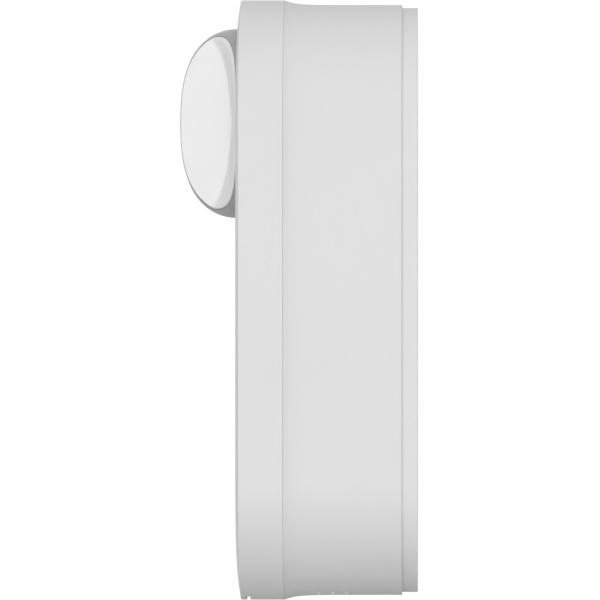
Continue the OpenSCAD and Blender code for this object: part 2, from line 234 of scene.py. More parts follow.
def slot_shape(name, z, half, reach, outline):
    """An upright slot of that half width and half height; the outline is (growth, depth)."""
    rings = []
    for growth, depth in outline:
        r = half + growth
        points = []
        for middle, start in ((z + reach - half, 0), (z - reach + half, math.pi)):
            for i in range(SLOT_ARC + 1):
                a = start + math.pi * i / SLOT_ARC
                points.append(placed(r * math.cos(a), depth, middle + r * math.sin(a)))
        rings.append(points)
    return loft(name, rings)


def combine(obj, tools, operation):
    """Applies one exact boolean after another, and removes the tools."""
    for tool in tools:
        modifier = obj.modifiers.new("combine", "BOOLEAN")
        modifier.operation = operation
        modifier.solver = "EXACT"
        modifier.object = tool
    graph = bpy.context.evaluated_depsgraph_get()
    mesh = bpy.data.meshes.new_from_object(obj.evaluated_get(graph))
    obj.modifiers.clear()
    old = obj.data
    obj.data = mesh
    bpy.data.meshes.remove(old)
    for tool in tools:
        bpy.data.objects.remove(tool)
    return finish_mesh(obj)


def cut(obj, *tools):
    """Takes the tools away from obj."""
    return combine(obj, tools, "DIFFERENCE")


def join(obj, *tools):
    """Adds the tools to obj."""
    return combine(obj, tools, "UNION")


def keep(obj, *tools):
    """Leaves what obj and the tools share."""
    return combine(obj, tools, "INTERSECT")


def without_folds(obj):
    """Triangulates a cut mesh and drops the pairs of triangles that lie back to back."""
    bm = bmesh.new()
    bm.from_mesh(obj.data)
    bmesh.ops.triangulate(bm, faces=bm.faces)
    bmesh.ops.remove_doubles(bm, verts=bm.verts, dist=3 * SAME_POINT)
    by_corners = {}
    for face in bm.faces:
        by_corners.setdefault(frozenset(v.index for v in face.verts), []).append(face)
    folds = [face for twins in by_corners.values() if len(twins) > 1 for face in twins]
    bmesh.ops.delete(bm, geom=folds, context="FACES")
    bm.to_mesh(obj.data)
    bm.free()
    return finish_mesh(obj)


# ---------------------------------------------------------------- materials


class Nodes:
    """A short way to write a material's node tree."""

    def __init__(self, name):
        self.material = bpy.data.materials.new(name)
        self.material.use_nodes = True
        self.tree = self.material.node_tree
        self.shader = self.tree.nodes["Principled BSDF"]
        self.place = self.add("ShaderNodeTexCoord").outputs["Object"]

    def add(self, kind, **values):
        """A new node with those properties."""
        node = self.tree.nodes.new(kind)
        for key, value in values.items():
            setattr(node, key, value)
        return node

    def link(self, a, b):
        """Joins an output to an input."""
        self.tree.links.new(a, b)

    def put(self, **values):
        """Constant values on the shader's own sockets."""
        for key, value in values.items():
            self.shader.inputs[key.replace("_", " ")].default_value = value

    def noise(self, scale, detail=3.0, rough=0.55):
        """Soft noise; a scale of 1000 gives grains of about a millimetre."""
        node = self.add("ShaderNodeTexNoise")
        node.inputs["Scale"].default_value = scale
        node.inputs["Detail"].default_value = detail
        node.inputs["Roughness"].default_value = rough
        self.link(self.place, node.inputs["Vector"])
        return node.outputs["Fac"]

    def cells(self, scale):
        """Distance to the middle of the nearest of many small cells."""
        node = self.add("ShaderNodeTexVoronoi")
        node.inputs["Scale"].default_value = scale
        self.link(self.place, node.inputs["Vector"])
        return node.outputs["Distance"]

    def ramp(self, value, stops):
        """A colour ramp over (position, grey or colour) stops."""
        node = self.add("ShaderNodeValToRGB")
        self.link(value, node.inputs["Fac"])
        points = node.color_ramp.elements
        while len(points) < len(stops):
            points.new(0.5)
        for point, (position, colour) in zip(points, stops):
            point.position = position
            rgb = colour if hasattr(colour, "__len__") else (colour,) * 3
            point.color = (*rgb, 1)
        return node.outputs["Color"]

    def mix(self, factor, a, b):
        """Colour a where the factor is 0 and b where it is 1; each is a colour or an output."""
        node = self.add("ShaderNodeMix", data_type="RGBA")
        self.link(factor, node.inputs["Factor"])
        for value, socket in ((a, node.inputs[6]), (b, node.inputs[7])):
            if hasattr(value, "node"):
                self.link(value, socket)
            else:
                socket.default_value = (*value, 1)
        return node.outputs[2]

    def bump(self, value, height, strength=1.0):
        """Bumps of that height in millimetres."""
        node = self.add("ShaderNodeBump")
        node.inputs["Strength"].default_value = strength
        node.inputs["Distance"].default_value = height * MM
        self.link(value, node.inputs["Height"])
        self.link(node.outputs["Normal"], self.shader.inputs["Normal"])

    def edges(self, low, high):
        """1 on outer edges and 0 elsewhere: where worn edges and painted highlights go."""
        geometry = self.add("ShaderNodeNewGeometry")
        return self.ramp(geometry.outputs["Pointiness"], [(low, 0.0), (high, 1.0)])


def grey(level):
    """A neutral colour."""
    return (level, level, level)


def shade(colour, factor):
    """The colour, lighter or darker by that factor."""
    return tuple(min(1.0, c * factor) for c in colour)


def moulded(name, colour, roughness, grain=0.006, spread=0.018, wear_and_highlight=None):
    """Moulded plastic: a fine spark-eroded grain, faint flow marks and, on small parts, lighter edges that
    are partly worn and partly a painted highlight.
    """
    m = Nodes(name)
    dark, light = shade(colour, 1 - spread), shade(colour, 1 + spread)
    flow = m.ramp(m.noise(38, 4), [(0.3, dark), (0.7, light)])
    specks = m.ramp(m.noise(1900, 2), [(0.42, 0.0), (0.72, 1.0)])
    base = m.mix(specks, flow, shade(colour, 1 - 0.6 * spread))
    if wear_and_highlight:
        # lighter outer edges: partly worn, partly a painted highlight
        base = m.mix(m.edges(0.53, 0.62), base, shade(colour, wear_and_highlight))
    m.link(base, m.shader.inputs["Base Color"])
    gloss = m.ramp(m.noise(160, 5), [(0.3, roughness - 0.05), (0.7, roughness + 0.05)])
    m.link(gloss, m.shader.inputs["Roughness"])
    m.bump(m.noise(5200, 2, 0.7), grain)
    m.put(IOR=1.49)
    return m.material


def rubber(name, colour):
    """Matt rubber with a little dust."""
    m = Nodes(name)
    dust = m.ramp(m.noise(700, 5), [(0.4, colour), (0.8, shade(colour, 1.25))])
    m.link(dust, m.shader.inputs["Base Color"])
    m.link(m.ramp(m.noise(240), [(0.3, 0.66), (0.7, 0.82)]), m.shader.inputs["Roughness"])
    m.bump(m.noise(3200, 3), 0.01)
    return m.material


def metal(name, colour, roughness):
    """Plated metal with faint brushing, tarnish and a painted highlight on its edges."""
    m = Nodes(name)
    tarnish = m.ramp(m.noise(420, 6), [(0.35, shade(colour, 0.72)), (0.65, colour)])
    # painted highlight: the outer edges are lightened
    m.link(m.mix(m.edges(0.52, 0.6), tarnish, shade(colour, 1.2)), m.shader.inputs["Base Color"])
    gloss = m.ramp(m.noise(900, 6), [(0.3, roughness - 0.08), (0.7, roughness + 0.1)])
    m.link(gloss, m.shader.inputs["Roughness"])
    m.bump(m.noise(1800, 4), 0.004)
    m.put(Metallic=1.0)
    return m.material


def glass(name, colour, transmission, roughness):
    """Clear or tinted glass with a faint unevenness and traces of handling."""
    m = Nodes(name)
    tint = m.ramp(m.noise(90), [(0.3, shade(colour, 0.9)), (0.7, shade(colour, 1.1))])
    m.link(tint, m.shader.inputs["Base Color"])
    traces = m.ramp(m.noise(500, 5), [(0.35, roughness), (0.75, roughness + 0.06)])
    m.link(traces, m.shader.inputs["Roughness"])
    m.bump(m.noise(60), 0.004)
    m.put(Transmission_Weight=transmission, IOR=1.5)
    return m.material


def milky(name, colour):
    """Translucent plastic that spreads the light behind it."""
    m = Nodes(name)
    cloud = m.ramp(m.noise(300, 3), [(0.3, shade(colour, 0.97)), (0.7, colour)])
    m.link(cloud, m.shader.inputs["Base Color"])
    m.link(m.ramp(m.noise(200, 4), [(0.3, 0.28), (0.7, 0.4)]), m.shader.inputs["Roughness"])
    m.bump(m.noise(4200), 0.003)
    m.put(Subsurface_Weight=0.25, Subsurface_Scale=0.0015)
    return m.material


def lens_plastic(name, colour):
    """The motion sensor's lens: a milky sheet moulded into small facets."""
    m = Nodes(name)
    facets = m.cells(850)
    m.link(m.ramp(facets, [(0.2, colour), (0.75, shade(colour, 0.86))]), m.shader.inputs["Base Color"])
    m.link(m.ramp(m.noise(250), [(0.3, 0.3), (0.7, 0.42)]), m.shader.inputs["Roughness"])
    m.bump(facets, 0.06, 0.7)
    m.put(Subsurface_Weight=0.2, Subsurface_Scale=0.001)
    return m.material


def board(name):
    """Solder mask over copper tracks, with tinned pads."""
    m = Nodes(name)
    tracks = m.add("ShaderNodeTexBrick")
    tracks.inputs["Scale"].default_value = 420
    tracks.inputs["Mortar Size"].default_value = 0.035
    turn = m.add("ShaderNodeMapping")
    turn.inputs["Rotation"].default_value = (math.pi / 2, 0, 0)
    m.link(m.place, turn.inputs["Vector"])
    m.link(turn.outputs["Vector"], tracks.inputs["Vector"])
    mask = m.mix(tracks.outputs["Fac"], (0.012, 0.085, 0.04), (0.03, 0.17, 0.075))
    pads = m.ramp(m.cells(520), [(0.1, 1.0), (0.14, 0.0)])
    m.link(m.mix(pads, mask, (0.62, 0.6, 0.55)), m.shader.inputs["Base Color"])
    m.link(m.ramp(m.noise(600), [(0.3, 0.3), (0.7, 0.45)]), m.shader.inputs["Roughness"])
    m.bump(tracks.outputs["Fac"], 0.03)
    return m.material


def wrap(name, colour):
    """A battery cell's shrunk sleeve, with fine upright creases."""
    m = Nodes(name)
    stretch = m.add("ShaderNodeMapping")
    stretch.inputs["Scale"].default_value = (1, 1, 0.08)
    m.link(m.place, stretch.inputs["Vector"])
    m.place = stretch.outputs["Vector"]
    creases = m.ramp(m.noise(800, 4), [(0.3, shade(colour, 0.8)), (0.7, shade(colour, 1.15))])
    m.link(creases, m.shader.inputs["Base Color"])
    m.link(m.ramp(m.noise(500), [(0.3, 0.24), (0.7, 0.4)]), m.shader.inputs["Roughness"])
    m.bump(m.noise(1300, 4), 0.03)
    return m.material


materials = {
    "shell_white": moulded("satin shell plastic", grey(0.73), 0.58),
    "plate_white": moulded("wall plate plastic", grey(0.735), 0.6),
    "cheek_white": moulded("bright cheek plastic", grey(0.805), 0.5, grain=0.002, spread=0.008),
    # the pod's grey is partly its own tone and partly painted shade
    "pod_grey": moulded("pod plastic, grey and painted shade", grey(0.40), 0.3, grain=0.003),
    "camera_glass": glass("tinted camera glass", (0.62, 0.62, 0.65), 1.0, 0.02),
    "lens_glass": glass("coated lens glass", (0.3, 0.26, 0.6), 0.5, 0.02),
    "filter_glass": glass("filter glass", (0.35, 0.65, 0.8), 0.8, 0.03),
    "black_plastic": moulded(
        "black plastic", (0.022, 0.022, 0.024), 0.42, grain=0.008, spread=0.12, wear_and_highlight=1.8
    ),
    "frame_plastic": moulded(
        "core frame plastic", (0.075, 0.077, 0.08), 0.5, grain=0.012, spread=0.08, wear_and_highlight=1.5
    ),
    "seal_rubber": rubber("seal rubber", (0.06, 0.06, 0.062)),
    "flap_rubber": rubber("flap rubber", (0.33, 0.33, 0.335)),
    "diffuser_white": milky("light diffuser", (0.9, 0.9, 0.9)),
    "circuit_board": board("circuit board"),
    "bright_metal": metal("plated steel", (0.74, 0.74, 0.75), 0.26),
    "brass_metal": metal("brass", (0.83, 0.62, 0.3), 0.3),
    "cell_wrap": wrap("cell sleeve", (0.06, 0.2, 0.42)),
    "led_clear": glass("clear LED epoxy", (0.85, 0.86, 0.95), 0.7, 0.05),
}
materials["motion_lens"] = lens_plastic("motion lens plastic", (0.84, 0.84, 0.85))

slot_of = {part["node"]: part["material_slot"] for part in frame["record"]["subparts"]}
body_of = {
    node: body
    for body, nodes in frame["record"]["behaviour"]["bodies"].items()
    for node in nodes
}

for node, obj in frame["nodes"].items():
    obj.data.materials.clear()
    obj.data.materials.append(materials[slot_of[node]])


def stands_for(obj, node, material=None):
    """The piece takes the node's place, body and finish, and even shading on its flat faces."""
    obj.data.materials.clear()
    obj.data.materials.append(materials[material or slot_of[node]])
    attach(obj, body_of[node])
    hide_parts(node)
    shading = obj.modifiers.new("even_shading", "WEIGHTED_NORMAL")
    shading.keep_sharp = True


# ---------------------------------------------------------------- front cover

COVER_WALL = 1.8
CROWN_WIDTH = 8.7  # width of the rim over which the face curves back
CROWN_FALL = 0.78  # how far it curves back
CROWN_STEPS = 14
SEAM = 0.035  # gap between the cover and the housing
HOLE_RIM = 0.12  # rounding round each hole in the face
MICROPHONE_HOLE = 0.6
MOTION_HOLE = 5.8
NOTCH = {"width": 14, "rise": 1.5, "back": 36.2, "front": 37.1}


def face_hole(x, z, r):
    """A tool for a hole through the face, with a rounded rim."""
    face = cover.front
    outline = [(r, cover.back - 1), (r, face - HOLE_RIM)]
    for k in range(1, 5):
        a = math.pi / 2 * k / 4
        outline.append((r + HOLE_RIM * (1 - math.cos(a)), face - HOLE_RIM + HOLE_RIM * math.sin(a)))
    outline.append((r + HOLE_RIM, face + 1))
    return turned("hole", x, z, outline)


def build_cover():
    """The shell with the crowned face, and the release notch under its lower edge."""
    face = cover.front
    seam = housing.front + SEAM
    crown = []
    for k in range(CROWN_STEPS + 1):
        t = 1 - k / CROWN_STEPS
        crown.append((cover.half - CROWN_WIDTH + (CROWN_WIDTH - 0.3) * t, face - CROWN_FALL * t * t))
    sides = soften(
        [
            (cover.half - 1.5, seam, 0),
            (cover.half, seam, 0.06),
            (cover.half, face - CROWN_FALL - 0.08, 0.16),
            (*crown[0], 0),
        ]
    )
    piece = capsule("cover_shell", sides + crown[1:])
    inner_r = cover.half - COVER_WALL
    inside = soften([(inner_r, cover.back - 1, 0), (inner_r, face - 2.5, 0.6), (inner_r - 8, face - 1.8, 0)])
    notch_height = 2 * NOTCH["rise"]
    notch_depths = [(0, NOTCH["back"]), (0, NOTCH["front"])]
    cut(
        piece,
        capsule("hollow", inside),
        face_hole(0, pod.z, pod.half + 0.3),
        face_hole(0, ring.z, ring.half + 0.25),
        face_hole(0, motion.z, MOTION_HOLE),
        face_hole(0, boot.z, MICROPHONE_HOLE),
        tablet("notch", 0, cover.low, NOTCH["width"], notch_height, 0.4, notch_depths),
    )
    stands_for(piece, "front_cover")


# ---------------------------------------------------------------- main housing

FLARE_LENGTH = 9  # depth over which the sides flare out to meet the cover
FLARE_DECAY = 2.2
FLARE_STEPS = 24
HOUSING_INSET = 1.0  # how far the straight part stands in from the cover
HOUSING_WALL = 2
POSTS = [(17, 46), (-17, 46), (14.5, -53), (-14.5, -53)]  # screw posts, as x and z
POST_FRONT = 25.3
RECESS_HALF = 12.5
RECESS_LOW = 19.5
RECESS_HIGH = 41
RECESS_FLOOR = 8.5
TERMINAL_X = 5.5
LATCH_SCREW_DEPTH = screw.front - screw.half
RIB_R = 0.6
RIB_HALF = 4.5
SOUND_HOLE_R = 0.65
SOUND_HOLE_PITCH = 3
SOUND_HOLE_DEPTH = 15.5  # of the first row


def rocking_rib(r, half):
    """A bar across the unit, on the axis about which it tilts off the plate."""
    depth, z = -tilt_axis[1] / MM, tilt_axis[2] / MM
    rings = []
    for x in (-half, half):
        angles = [2 * math.pi * i / 32 for i in range(32)]
        rings.append([placed(x, depth + r * math.cos(a), z + r * math.sin(a)) for a in angles])
    return loft("rocking_rib", rings)


def bar(x, z, r, back, front, facets=40):
    """A round bar along the depth axis."""
    return turned("bar", x, z, [(r, back), (r, front)], facets)


def housing_outline():
    """The straight sides and the concave flare, back to front."""
    back_r = cover.half - HOUSING_INSET
    corners = [
        (back_r - 1.5, housing.back, 0),
        (back_r, housing.back, 0.15),
        (back_r, housing.front - FLARE_LENGTH, 0),
    ]
    for k in range(1, FLARE_STEPS):
        s = FLARE_LENGTH * (1 - k / FLARE_STEPS) ** 2
        inset = HOUSING_INSET * (1 - math.exp(-s / FLARE_DECAY))
        corners.append((cover.half - inset, housing.front - s, 0))
    corners.append((cover.half, housing.front, 0.05))
    corners.append((cover.half - 1, housing.front, 0))
    return soften(corners)


def housing_openings(floor):
    """Tools for the wiring recess, the latch slots and every screw, port and terminal hole."""
    back = housing.back
    through = (back - 1, floor + 1)
    recess_outline = [(-0.4, back - 1), (-0.4, back), (0, back + 0.4), (0, RECESS_FLOOR)]
    recess_z = (RECESS_LOW + RECESS_HIGH) / 2
    past_floor = (RECESS_FLOOR - 1, RECESS_FLOOR + 2)
    screw_hole = [(2.4, -66), (2.4, -63.6), (2.2, -63.3), (2.2, -62.4)]
    tools = [
        tablet("recess", 0, recess_z, 2 * RECESS_HALF, RECESS_HIGH - RECESS_LOW, 1.2, recess_outline),
        block("tongue_slot", (-6.6, 6.6), through, (54, 56.9)),
        block("tab_slot", (-4.4, 4.4), through, (-60.3, -56.6)),
        tablet("usb_hole", 0, port.z, 9.4, 3.6, 1.5, [(0, depth) for depth in past_floor]),
        bar(reset.x, reset.z, 1.8, *past_floor),
        upright("screw_hole", 0, LATCH_SCREW_DEPTH, screw_hole),
        upright("screw_bore", 0, LATCH_SCREW_DEPTH, [(1.35, -63), (1.35, -58)]),
    ]
    counterbore = [(2.8, back - 1), (2.8, back), (2.4, back + 0.4), (2.4, 6.6)]
    for x, z in POSTS:
        tools.append(turned("counterbore", x, z, counterbore, 40))
        tools.append(bar(x, z, 1.35, 6, 26))
    for side in (-1, 1):
        tools.append(bar(side * TERMINAL_X, terminals.z, 1.6, *past_floor))
    return tools


def sound_holes():
    """Three rows of upright holes under the speaker."""
    holes = []
    for i in range(-2, 3):
        for j in range(3):
            depth = SOUND_HOLE_DEPTH + SOUND_HOLE_PITCH * j
            outline = [(SOUND_HOLE_R, -70), (SOUND_HOLE_R, -60)]
            holes.append(upright("sound_hole", i * SOUND_HOLE_PITCH, depth, outline, 20))
    return holes


def build_housing():
    """The deep shell behind the cover, with its posts, recess and latch."""
    inner_r = cover.half - HOUSING_INSET - HOUSING_WALL
    floor = housing.back + 2
    piece = capsule("housing_shell", housing_outline())
    inside = soften([(inner_r - 2, floor, 0), (inner_r, floor, 0.8), (inner_r, housing.front + 1, 0)])
    cut(piece, capsule("hollow", inside))
    extra = []
    for x, z in POSTS:
        extra.append(bar(x, z, 3.3, floor - 0.5, 8.4))
        extra.append(bar(x, z, 2.5, 8, POST_FRONT))
    walls_x = (-RECESS_HALF - 1.5, RECESS_HALF + 1.5)
    walls_z = (RECESS_LOW - 1.5, RECESS_HIGH + 1.5)
    extra.append(block("boss", walls_x, (floor - 0.5, RECESS_FLOOR + 1.5), walls_z))
    extra.append(block("tab_boss", (-4.2, 4.2), (floor - 0.5, 10.6), (-62.6, -60.9)))
    join(piece, *extra)
    cut(piece, *housing_openings(floor))
    cut(piece, *sound_holes())
    join(piece, rocking_rib(RIB_R, RIB_HALF))
    stands_for(piece, "main_housing")


# ---------------------------------------------------------------- wall plate


PLATE_TOP = 3.5  # depth of the plate's rim
PLATE_FLOOR = 1.6
PLATE_RIBS = (-34.5, 6, 12.5)
SCREW_SLOTS = (-46, 46)
SLOT_HALF = 2.2
SLOT_REACH = 4.5


def build_plate():
    """The dished plate on the wall, with its windows, screw slots, tongue and tab."""
    r = plate.half
    top, floor = PLATE_TOP, PLATE_FLOOR
    outside = soften([(r - 1, 0, 0), (r, 0, 0.12), (r, top, 0.12), (r - 1, top, 0)])
    piece = capsule("plate_shell", outside)
    dish = soften([(r - 3, floor, 0), (r - 1.8, floor, 0.5), (r - 1.8, top + 1, 0)])
    cut(piece, capsule("pocket", dish))
    opening = [(0, -1), (0, floor - 0.2), (-0.3, floor + 0.1), (-0.3, 4)]
    countersink = [(0, -1), (0, 0.9), (1.1, floor), (1.1, 4)]
    tools = [
        tablet("wire_window", 0, 30.25, 26, 24.5, 3, opening),
        tablet("lower_window", 0, -14, 22, 36, 5, opening),
    ]
    for z in SCREW_SLOTS:
        tools.append(slot_shape("slot", z, SLOT_HALF, SLOT_REACH, countersink))
    cut(piece, *tools)
    extra = [block("rib", (-20, 20), (floor - 0.1, floor + 1), (z, z + 1.2)) for z in PLATE_RIBS]
    extra.append(block("tongue", (-6, 6), (floor - 0.1, 8.6), (55, 56.6)))
    extra.append(block("tongue_lip", (-6, 6), (7.6, 8.6), (56.3, 57.8)))
    extra.append(block("tab", (-3.9, 3.9), (floor - 0.1, plate.front), (-59.9, -57.4)))
    join(piece, *extra)
    cut(
        piece,
        upright("tab_hole", 0, LATCH_SCREW_DEPTH, [(1.25, -61), (1.25, -56)]),
        rocking_rib(RIB_R + 0.1, RIB_HALF + 0.3),
    )
    stands_for(piece, "wall_plate")


# ---------------------------------------------------------------- camera pod

POD_ROUNDNESS = 2.1  # exponent of the dome's outline along its depth
POD_FULLNESS = 2.8  # exponent of the dome's outline across its radius
POD_FACETS = 192
POD_ROWS = 44
RIDGE_HALF = 4.6  # half width of the ridge between the two scooped flanks, at the tip
RIDGE_SPREAD = 0.1  # how much wider it gets for each millimetre behind the tip
SHELL_WALL = 1.6
CHEEK_WALL = 0.6
CHEEK_GAP = 0.09  # gap round each cheek
CHEEK_ROUNDING = 0.1
PANE_WALL = 1.3
PANE_INSET = 0.03
SCOOP_COUNT = 240  # points round a scoop's edge
SCOOP_ROWS = 36
SCOOP_NEAR_EDGE = [1, 0.9985, 0.996, 0.993, 0.989, 0.984]  # close rows that round the edge
SCOOP_OUTSIDE = 30  # where a scoop's cutting tool ends, beyond the dome
face_depth = cover.front
pod_r = pod.half
pod_tip = window.front + 0.02
pod_h = pod_tip - face_depth


def dome_r(depth, inset=0.0):
    """Radius of the pod at a depth."""
    h = max(0.0, depth - face_depth) / (pod_h - inset)
    return (pod_r - inset) * max(0.0, 1 - h**POD_ROUNDNESS) ** (1 / POD_FULLNESS)


def dome(name, inset, foot):
    """The whole dome, smaller all round by the inset, down to the foot's depth."""
    outline = [(pod_r - inset, foot)]
    for k in range(POD_ROWS):
        h = (pod_h - inset) * math.sin(math.pi / 2 * k / POD_ROWS)
        outline.append((dome_r(face_depth + h, inset), face_depth + h))
    outline.append((0.25, face_depth + pod_h - inset))
    return turned(name, 0, pod.z, outline, POD_FACETS)


def floor_x(depth):
    """Half width between the flats of the two scooped flanks."""
    return RIDGE_HALF + RIDGE_SPREAD * (pod_tip - depth)


def scoop_back(z):
    """Depth at which the scoop starts, behind which the dome is whole. z is from the pod's middle."""
    v = min(1.0, abs(z) / 18.7)
    return face_depth - 0.2 + 4.8 * (1 - (1 - v**4) ** (1 / 3))


def scoop_x(depth, z):
    """The scooped surface: a flat floor with a soft dished wall behind it."""
    dome_x = math.sqrt(max(0.0, dome_r(depth) ** 2 - z * z))
    low = floor_x(depth)
    width = 1.4 + 2.1 * (abs(z) / 17.5) ** 1.6
    t = (depth - scoop_back(z)) / width
    u = min(1.0, max(0.0, t)) ** 1.2
    lift = 1 - u * u * (3 - 2 * u)
    return low + max(0.0, dome_x - low) * lift


def in_scoop(depth, z):
    """Whether that point of the side view is in a scooped flank."""
    on_dome = dome_r(depth) ** 2 - z * z >= floor_x(depth) ** 2
    return depth >= scoop_back(z) and on_dome and depth < pod_tip


def scoop_outline():
    """The scoop's middle depth, and (depth, z) steps from there to its edge."""
    middle = face_depth + 6.4
    edge = []
    for i in range(SCOOP_COUNT):
        a = 2 * math.pi * i / SCOOP_COUNT
        step = (math.cos(a), 3 * math.sin(a))
        near, far = 0.0, 9.0
        for _ in range(40):
            s = (near + far) / 2
            if in_scoop(middle + s * step[0], s * step[1]):
                near = s
            else:
                far = s
        edge.append((near * step[0], near * step[1]))
    return middle, edge


scoop_middle, scoop_edge = scoop_outline()
SCOOP_SHARES = SCOOP_NEAR_EDGE + [0.98 * (1 - k / SCOOP_ROWS) + 0.004 for k in range(SCOOP_ROWS)]


def scoop_ring(side, inset, share, offset, rounded):
    """Points of the scooped surface at that share of the way from its middle to its edge."""
    ring = []
    for d, z in scoop_edge:
        length = math.hypot(d, z)
        k = share * (1 - inset / length)
        x = scoop_x(scoop_middle + d * share, z * share) + offset
        gap = (length - inset) * (1 - share)
        if rounded and gap < CHEEK_ROUNDING:
            x -= CHEEK_ROUNDING * 0.6 * (1 - math.sqrt(1 - (1 - gap / CHEEK_ROUNDING) ** 2))
        ring.append(placed(side * x, scoop_middle + d * k, pod.z + z * k))
    return ring


def cheek_pocket(side):
    """The tool that takes a scooped flank off the dome, with room for the cheek and its gap."""
    under = -CHEEK_WALL - CHEEK_GAP
    rings = [scoop_ring(side, 0.0, share, under, False) for share in reversed(SCOOP_SHARES)]
    outside = [placed(side * SCOOP_OUTSIDE, -p.y / MM, p.z / MM) for p in rings[-1]]
    return loft("cheek_pocket", rings + [outside])


def cheek(name, side):
    """The inlay on a scooped flank: its outer surface with a rounded edge, and its underside."""
    outer = [scoop_ring(side, CHEEK_GAP, share, 0, True) for share in reversed(SCOOP_SHARES)]
    under = [scoop_ring(side, CHEEK_GAP, share, -CHEEK_WALL, False) for share in SCOOP_SHARES]
    return loft(name, outer + under)


def window_shape(name, growth):
    """The camera window's upright slot, from the middle of the dome to past its tip."""
    reach = (window.high - window.low) / 2
    depths = [(growth, face_depth + 2), (growth, pod_tip + 1)]
    return slot_shape(name, pod.z, window.half, reach, depths)


def build_pod():
    """The dome, whose grey is partly painted shade, with its two bright cheeks and the camera's pane."""
    shell = dome("pod_dome", 0, pod.back)
    cut(
        shell,
        dome("hollow", SHELL_WALL, pod.back - 1),
        window_shape("window_cut", CHEEK_GAP),
        cheek_pocket(-1),
        cheek_pocket(1),
    )
    stands_for(without_folds(shell), "pod_shell")
    for side, name in ((-1, "left"), (1, "right")):
        stands_for(cheek("cheek_" + name, side), "pod_cheek_" + name)
    pane = dome("camera_pane", PANE_INSET, pod.back)
    keep(pane, window_shape("pane_shape", 0))
    cut(pane, dome("hollow", PANE_WALL, pod.back - 1))
    stands_for(pane, "camera_window")


# ---------------------------------------------------------------- bell button, ring and motion lens


BUTTON_R = 9.6
BUTTON_BACK = 35
CLIP_BACK = 33.8
CLIP_ANGLES = (90, 210, 330)
RING_RIM = 0.12
MOTION_R = 5.6
MOTION_INNER_R = 4.6


def build_button():
    """The dished cap with its three snap clips, and the light ring round it."""
    r = BUTTON_R
    front = face_depth - 0.15
    outline = soften([(0.2, BUTTON_BACK, 0), (r, BUTTON_BACK, 0.3), (r, front, 0.5), (r - 1.2, front, 0.4)])
    for k in range(14):
        t = 1 - k / 13
        outline.append(((r - 1.6) * t + 0.2, front - 0.7 + 0.62 * t * t))
    piece = turned("bell_cap", 0, cap.z, outline)
    clips = []
    for angle in CLIP_ANGLES:
        x, z = math.cos(math.radians(angle)), math.sin(math.radians(angle))
        for name, away, front_end in (("clip", 8, BUTTON_BACK + 0.1), ("hook", BUTTON_R, 34.7)):
            ends = [(1.2, CLIP_BACK), (1.2, front_end)]
            clips.append(turned(name, away * x, cap.z + away * z, ends, 24))
    join(piece, *clips)
    stands_for(piece, "button_cap")
    inner = BUTTON_R + 0.3
    outside = [
        (inner + 0.1, ring.back, 0),
        (ring.half, ring.back, 0.1),
        (ring.half, ring.front, 0.15),
        (inner + 0.1, ring.front, 0),
    ]
    middle = [
        (inner, ring.back - 1),
        (inner, ring.front - RING_RIM),
        (inner + RING_RIM, ring.front),
        (inner + RING_RIM, ring.front + 1),
    ]
    piece = turned("bell_light", 0, ring.z, soften(outside))
    cut(piece, turned("middle", 0, ring.z, middle))
    stands_for(piece, "light_ring")


def build_motion_lens():
    """The motion sensor's lens, hollow behind and slightly domed in front."""
    r = MOTION_R
    flange_front = 37.1
    outline = soften(
        [
            (MOTION_INNER_R, motion.back, 0),
            (motion.half, motion.back, 0.05),
            (motion.half, flange_front, 0.05),
            (r, flange_front, 0.05),
            (r, face_depth - 0.05, 0.2),
            (r - 0.6, face_depth, 0),
        ]
    )
    for k in range(16):
        t = 1 - k / 15
        outline.append((0.9 * r * t + 0.1, face_depth + 0.15 * (1 - t * t)))
    piece = turned("motion_window", 0, motion.z, outline)
    back = [(MOTION_INNER_R, motion.back - 1), (MOTION_INNER_R, motion.back), (3, 37.8), (0.2, 38.1)]
    cut(piece, turned("back", 0, motion.z, back, 48))
    stands_for(piece, "pir_lens", "motion_lens")


# ---------------------------------------------------------------- charging flap


HINGE_R = 0.6


def build_flap():
    """The rubber flap over the charging port, with its hinge barrel and finger grip."""
    hinge = flap.front - HINGE_R
    z_top = flap.high - HINGE_R
    back = flap.back
    outline = [(0.25, back), (0.07, back + 0.07), (0, back + 0.25), (0, 8.05), (0.2, 8.25)]
    middle = (flap.low + z_top) / 2
    piece = tablet("flap_cover", 0, middle, 2 * flap.half, z_top - flap.low, 0.8, outline)
    barrel = []
    for x in (-flap.half, flap.half):
        angles = [2 * math.pi * i / 32 for i in range(32)]
        barrel.append(
            [placed(x, hinge + HINGE_R * math.cos(a), z_top + HINGE_R * math.sin(a)) for a in angles]
        )
    join(piece, loft("barrel", barrel))
    cut(piece, tablet("grip", 0, flap.low + 0.9, 5, 0.7, 0.3, [(0, back - 1), (0, back + 0.25)]))
    stands_for(piece, "port_flap")


build_cover()
build_housing()
build_plate()
build_pod()
build_button()
build_motion_lens()
build_flap()

SMALL_ROUND = 0.08
DOMED = ("camera_glass", "lens_glass", "led_clear")  # slots of parts that have no edge to round

for node, obj in frame["nodes"].items():
    if not obj.hide_render and slot_of[node] not in DOMED:
        bevel = obj.modifiers.new("round", "BEVEL")
        bevel.width = SMALL_ROUND * MM
        bevel.segments = 2
        bevel.limit_method = "ANGLE"
        bevel.angle_limit = math.radians(50)
        bevel.harden_normals = False


# ---------------------------------------------------------------- stage, light and camera

FLOOR_DROP = 0.3  # metres below the object's middle
FLOOR_SIZE = 4
FLOOR_CHAMFER = 0.004
TENT = [  # the tent's brightness from straight down, at 0, to straight up, at 1
    (0.0, 0.05),
    (0.4, 0.2),
    (0.465, 1.0),
    (0.535, 1.0),
    (0.6, 0.82),
    (1.0, 0.74),
]
TENT_SIDES = 0.62  # how bright the tent's front and back are beside its left and right
TENT_STRENGTH = 1.02
LENS = 372
LENS_SHIFT = -0.2118
CAMERA_X = 1.346
CAMERA_Y = 0.002


